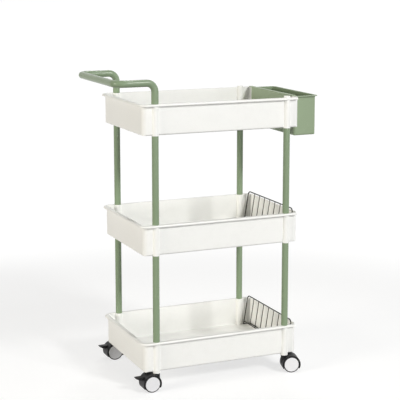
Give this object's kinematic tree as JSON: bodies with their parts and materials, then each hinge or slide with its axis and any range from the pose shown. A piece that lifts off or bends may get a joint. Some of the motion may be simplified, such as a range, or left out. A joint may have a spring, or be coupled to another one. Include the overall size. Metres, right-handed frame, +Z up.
{
  "type": "rolling tray cart",
  "caption": "Rolling cart with moulded trays on tube posts, a push handle, a hooked-on side bin, wire dividers and braked casters.",
  "frame": {"origin": "on the floor, under the middle of the whole cart's box", "axes": "+Z up, +X along the trays from the handle to the bin, +Y from the front to the rear"},
  "size_m": [0.6398, 0.3734, 0.8764],
  "materials": {
    "tray_plastic": "satin moulded plastic",
    "cap_plastic": "satin moulded plastic",
    "painted_tube": "semi-gloss sage paint",
    "bin_plastic": "satin sage plastic",
    "divider_wire": "dark satin coating",
    "caster_plastic": "black satin plastic",
    "wheel_rubber": "black soft tread",
    "hub_plastic": "white semi-gloss plastic",
    "steel": "plain steel",
    "sleeve_plastic": "natural nylon"
  },
  "bodies": {
    "cart": {"tray_bottom": "tray_plastic", "tray_middle": "tray_plastic", "tray_top": "tray_plastic", "post_lower_front_left": "painted_tube", "post_lower_front_right": "painted_tube", "post_lower_rear_left": "painted_tube", "post_lower_rear_right": "painted_tube", "post_upper_front_left": "painted_tube", "post_upper_front_right": "painted_tube", "post_upper_rear_left": "painted_tube", "post_upper_rear_right": "painted_tube", "push_handle": "painted_tube", "post_cap_front": "cap_plastic", "post_cap_rear": "cap_plastic", "stem_front_left": "steel", "stem_front_right": "steel", "stem_rear_left": "steel", "stem_rear_right": "steel", "sleeve_front_left": "sleeve_plastic", "sleeve_front_right": "sleeve_plastic", "sleeve_rear_left": "sleeve_plastic", "sleeve_rear_right": "sleeve_plastic"},
    "bin": {"hanging_bin": "bin_plastic"},
    "divider_middle": {"wire_divider_middle": "divider_wire"},
    "divider_bottom": {"wire_divider_bottom": "divider_wire"},
    "caster_front_left": {"hood_front_left": "caster_plastic", "axle_front_left": "steel", "brake_pin_front": "steel"},
    "wheel_front_left_outer": {"wheel_front_left_outer": "wheel_rubber", "hub_cover_front_left_outer": "hub_plastic"},
    "wheel_front_left_inner": {"wheel_front_left_inner": "wheel_rubber", "hub_cover_front_left_inner": "hub_plastic"},
    "pedal_front": {"brake_pedal_front": "caster_plastic"},
    "caster_front_right": {"hood_front_right": "caster_plastic", "axle_front_right": "steel"},
    "wheel_front_right_outer": {"wheel_front_right_outer": "wheel_rubber", "hub_cover_front_right_outer": "hub_plastic"},
    "wheel_front_right_inner": {"wheel_front_right_inner": "wheel_rubber", "hub_cover_front_right_inner": "hub_plastic"},
    "caster_rear_left": {"hood_rear_left": "caster_plastic", "axle_rear_left": "steel", "brake_pin_rear": "steel"},
    "wheel_rear_left_outer": {"wheel_rear_left_outer": "wheel_rubber", "hub_cover_rear_left_outer": "hub_plastic"},
    "wheel_rear_left_inner": {"wheel_rear_left_inner": "wheel_rubber", "hub_cover_rear_left_inner": "hub_plastic"},
    "pedal_rear": {"brake_pedal_rear": "caster_plastic"},
    "caster_rear_right": {"hood_rear_right": "caster_plastic", "axle_rear_right": "steel"},
    "wheel_rear_right_outer": {"wheel_rear_right_outer": "wheel_rubber", "hub_cover_rear_right_outer": "hub_plastic"},
    "wheel_rear_right_inner": {"wheel_rear_right_inner": "wheel_rubber", "hub_cover_rear_right_inner": "hub_plastic"}
  },
  "joints": [
    {"name": "bin_lift", "type": "slide", "parent": "cart", "child": "bin", "axis": [0, 0, 1], "range_m": [0, 0.12]},
    {"name": "divider_middle_lift", "type": "slide", "parent": "cart", "child": "divider_middle", "axis": [0, 0, 1], "range_m": [0, 0.12]},
    {"name": "divider_bottom_lift", "type": "slide", "parent": "cart", "child": "divider_bottom", "axis": [0, 0, 1], "range_m": [0, 0.12]},
    {"name": "swivel_front_left", "type": "hinge", "parent": "cart", "child": "caster_front_left", "pos_m": [-0.1989, -0.155, 0.049], "axis": [0, 0, 1], "continuous": true},
    {"name": "roll_front_left_outer", "type": "hinge", "parent": "caster_front_left", "child": "wheel_front_left_outer", "pos_m": [-0.2179, -0.155, 0.024], "axis": [0, 1, 0], "continuous": true},
    {"name": "roll_front_left_inner", "type": "hinge", "parent": "caster_front_left", "child": "wheel_front_left_inner", "pos_m": [-0.2179, -0.155, 0.024], "axis": [0, 1, 0], "continuous": true},
    {"name": "brake_front", "type": "hinge", "parent": "caster_front_left", "child": "pedal_front", "pos_m": [-0.23262, -0.155, 0.0325], "axis": [0, -1, 0], "range_deg": [0, 15]},
    {"name": "swivel_front_right", "type": "hinge", "parent": "cart", "child": "caster_front_right", "pos_m": [0.2031, -0.155, 0.049], "axis": [0, 0, 1], "continuous": true},
    {"name": "roll_front_right_outer", "type": "hinge", "parent": "caster_front_right", "child": "wheel_front_right_outer", "pos_m": [0.22145, -0.15992, 0.024], "axis": [-0.2588, -0.9659, 0], "continuous": true},
    {"name": "roll_front_right_inner", "type": "hinge", "parent": "caster_front_right", "child": "wheel_front_right_inner", "pos_m": [0.22145, -0.15992, 0.024], "axis": [-0.2588, -0.9659, 0], "continuous": true},
    {"name": "swivel_rear_left", "type": "hinge", "parent": "cart", "child": "caster_rear_left", "pos_m": [-0.1989, 0.155, 0.049], "axis": [0, 0, 1], "continuous": true},
    {"name": "roll_rear_left_outer", "type": "hinge", "parent": "caster_rear_left", "child": "wheel_rear_left_outer", "pos_m": [-0.2179, 0.155, 0.024], "axis": [0, 1, 0], "continuous": true},
    {"name": "roll_rear_left_inner", "type": "hinge", "parent": "caster_rear_left", "child": "wheel_rear_left_inner", "pos_m": [-0.2179, 0.155, 0.024], "axis": [0, 1, 0], "continuous": true},
    {"name": "brake_rear", "type": "hinge", "parent": "caster_rear_left", "child": "pedal_rear", "pos_m": [-0.23262, 0.155, 0.0325], "axis": [0, -1, 0], "range_deg": [0, 15]},
    {"name": "swivel_rear_right", "type": "hinge", "parent": "cart", "child": "caster_rear_right", "pos_m": [0.2031, 0.155, 0.049], "axis": [0, 0, 1], "continuous": true},
    {"name": "roll_rear_right_outer", "type": "hinge", "parent": "caster_rear_right", "child": "wheel_rear_right_outer", "pos_m": [0.22145, 0.15992, 0.024], "axis": [0.2588, -0.9659, 0], "continuous": true},
    {"name": "roll_rear_right_inner", "type": "hinge", "parent": "caster_rear_right", "child": "wheel_rear_right_inner", "pos_m": [0.22145, 0.15992, 0.024], "axis": [0.2588, -0.9659, 0], "continuous": true}
  ]
}
